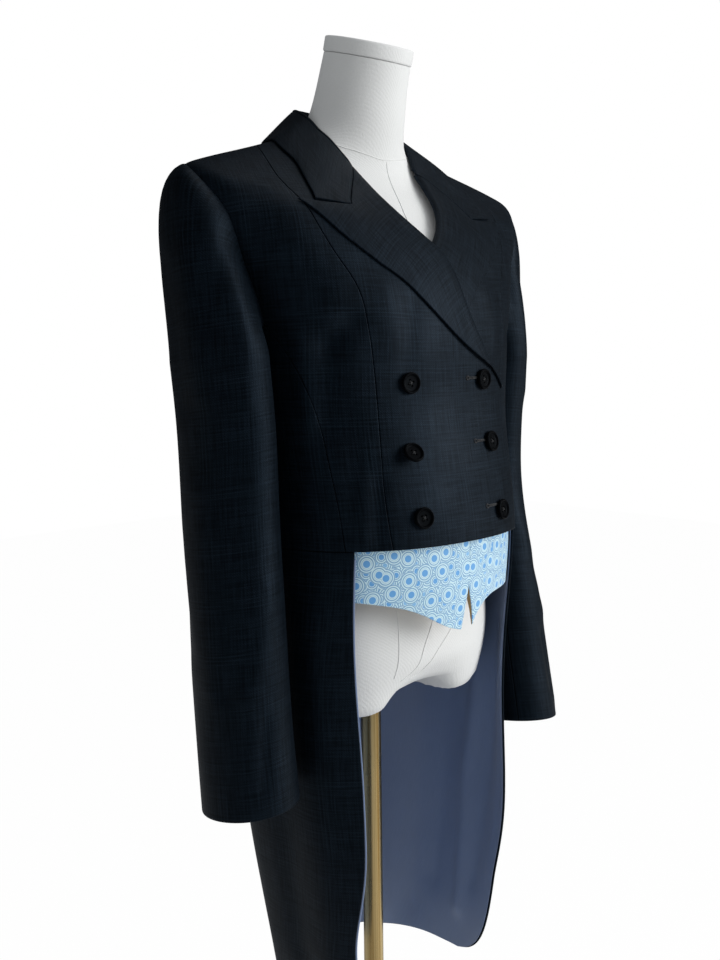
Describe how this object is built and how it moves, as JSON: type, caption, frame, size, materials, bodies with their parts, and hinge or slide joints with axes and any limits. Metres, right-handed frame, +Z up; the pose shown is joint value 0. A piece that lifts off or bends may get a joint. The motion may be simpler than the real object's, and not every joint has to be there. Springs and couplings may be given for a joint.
{
  "type": "dressage tailcoat on a limbless dress form",
  "caption": "double-breasted dressage tailcoat with peaked lapels, cut-away front and long tails, worn by a limbless dress form on a pole and round foot, over two waistcoat points",
  "frame": {"origin": "centre of the foot plate's underside, on the floor", "axes": "+Z up the pole, -Y out of the coat's front, +X towards the wearer's left"},
  "size_m": [0.4624, 0.2819, 1.5305],
  "materials": {
    "suiting": "midnight wool with a faint woven check, soft sheen",
    "lining": "slate satin",
    "jacquard": "light blue satin jacquard with small rings",
    "horn": "black, polished rim",
    "linen": "off-white jersey cover",
    "brass": "brushed"
  },
  "bodies": {
    "root": {"front_centre_right": "suiting", "front_centre_left": "suiting", "front_side_right": "suiting", "front_side_left": "suiting", "side_body_right": "suiting", "side_body_left": "suiting", "back_right": "suiting", "back_left": "suiting", "tail_right": "suiting", "tail_left": "suiting", "lapel_right": "suiting", "lapel_left": "suiting", "upper_sleeve_right": "suiting", "upper_sleeve_left": "suiting", "under_sleeve_right": "suiting", "under_sleeve_left": "suiting", "collar": "suiting", "lining_right": "lining", "lining_left": "lining", "waistcoat_right": "jacquard", "waistcoat_left": "jacquard", "button_side_1": "horn", "button_side_2": "horn", "button_side_3": "horn", "button_edge_1": "horn", "button_edge_2": "horn", "button_edge_3": "horn", "dress_form": "linen", "neck_cap": "linen", "pole": "brass", "foot_plate": "brass"}
  },
  "joints": []
}
